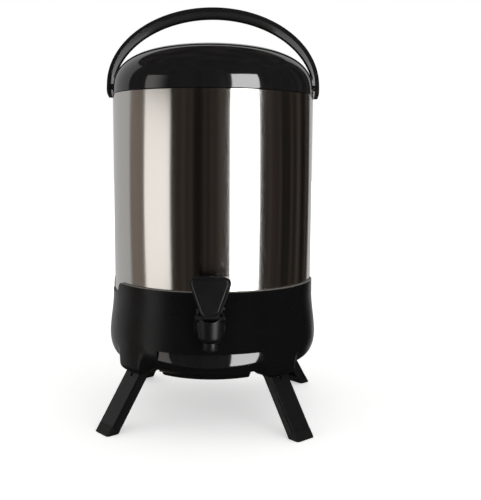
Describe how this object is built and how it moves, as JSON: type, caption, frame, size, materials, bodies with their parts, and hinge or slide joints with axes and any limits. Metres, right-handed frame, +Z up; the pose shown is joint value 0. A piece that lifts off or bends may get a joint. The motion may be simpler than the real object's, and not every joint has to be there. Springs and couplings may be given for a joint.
{
  "type": "insulated drink dispenser",
  "caption": "Insulated steel barrel with a domed lid, a carrying bail, folding splayed legs and a lever tap, for serving hot or cold drinks.",
  "frame": {"origin": "on the floor, under the axis of the barrel", "axes": "+Z up along the barrel's axis, -Y towards the tap at the front, +X to the viewer's right when facing the tap"},
  "size_m": [0.2674, 0.291, 0.4909],
  "materials": {
    "shell_steel": "satin",
    "liner_steel": "satin",
    "hardware": "polished",
    "gloss_black": "gloss",
    "base_black": "satin",
    "satin_black": "satin",
    "tap_black": "satin",
    "foot_rubber": "matte",
    "silicone": "matte",
    "foam": "matte"
  },
  "bodies": {
    "barrel": {"outer_shell": "shell_steel", "foam_insulation": "foam", "inner_liner": "liner_steel", "neck_collar": "satin_black", "base_skirt": "base_black", "front_trim": "gloss_black", "base_pan": "base_black", "base_stud": "hardware", "base_washer": "hardware", "base_nut": "hardware", "pan_screws": "hardware", "front_left_leg_pin": "hardware", "front_right_leg_pin": "hardware", "rear_right_leg_pin": "hardware", "rear_left_leg_pin": "hardware", "tap_body": "tap_black", "tap_nozzle": "tap_black", "tap_outer_gasket": "foot_rubber", "tap_inner_gasket": "silicone", "tap_nut": "tap_black", "tap_bonnet": "tap_black", "lever_pin": "hardware", "valve_spring": "hardware"},
    "plug": {"lid_plug": "satin_black", "lid_foam": "foam", "lid_gasket": "silicone", "vent_valve": "silicone"},
    "dome": {"lid_dome": "gloss_black", "pivot_washer": "hardware", "pivot_screw": "hardware", "left_bail_pin": "hardware", "right_bail_pin": "hardware"},
    "bail": {"bail_handle": "satin_black"},
    "lever": {"tap_lever": "tap_black"},
    "valve": {"valve_stem": "hardware", "valve_seal": "silicone"},
    "front_left": {"front_left_leg": "satin_black", "front_left_foot": "foot_rubber"},
    "front_right": {"front_right_leg": "satin_black", "front_right_foot": "foot_rubber"},
    "rear_right": {"rear_right_leg": "satin_black", "rear_right_foot": "foot_rubber"},
    "rear_left": {"rear_left_leg": "satin_black", "rear_left_foot": "foot_rubber"}
  },
  "joints": [
    {"name": "lid_lift", "type": "slide", "parent": "barrel", "child": "plug", "axis": [0, 0, 1], "range_m": [0, 0.12]},
    {"name": "lid_turn", "type": "hinge", "parent": "plug", "child": "dome", "pos_m": [0, 0, 0.4], "axis": [0, 0, -1], "range_deg": [0, 25]},
    {"name": "bail_swing", "type": "hinge", "parent": "dome", "child": "bail", "pos_m": [0, 0, 0.3946], "axis": [1, 0, 0], "range_deg": [-35, 63]},
    {"name": "tap_lever", "type": "hinge", "parent": "barrel", "child": "lever", "pos_m": [0, -0.1487, 0.1432], "axis": [1, 0, 0], "range_deg": [0, 45], "stiffness_Nm_per_rad": 0.3, "springref_deg": -17.19},
    {"name": "valve_lift", "type": "slide", "parent": "barrel", "child": "valve", "axis": [0, 0, 1], "range_m": [0, 0.006], "deforming": ["valve_spring"]},
    {"name": "front_left_fold", "type": "hinge", "parent": "barrel", "child": "front_left", "pos_m": [-0.0825, -0.07046, 0.07], "axis": [0.6494, -0.7604, 0], "range_deg": [0, 124]},
    {"name": "front_right_fold", "type": "hinge", "parent": "barrel", "child": "front_right", "pos_m": [0.07046, -0.0825, 0.07], "axis": [0.7604, 0.6494, 0], "range_deg": [0, 124]},
    {"name": "rear_right_fold", "type": "hinge", "parent": "barrel", "child": "rear_right", "pos_m": [0.0825, 0.07046, 0.07], "axis": [-0.6494, 0.7604, 0], "range_deg": [0, 124]},
    {"name": "rear_left_fold", "type": "hinge", "parent": "barrel", "child": "rear_left", "pos_m": [-0.07046, 0.0825, 0.07], "axis": [-0.7604, -0.6494, 0], "range_deg": [0, 124]}
  ],
  "couplings": [
    {"joint": "valve_lift", "follows": "tap_lever", "m_per_rad": 0.0076394}
  ]
}
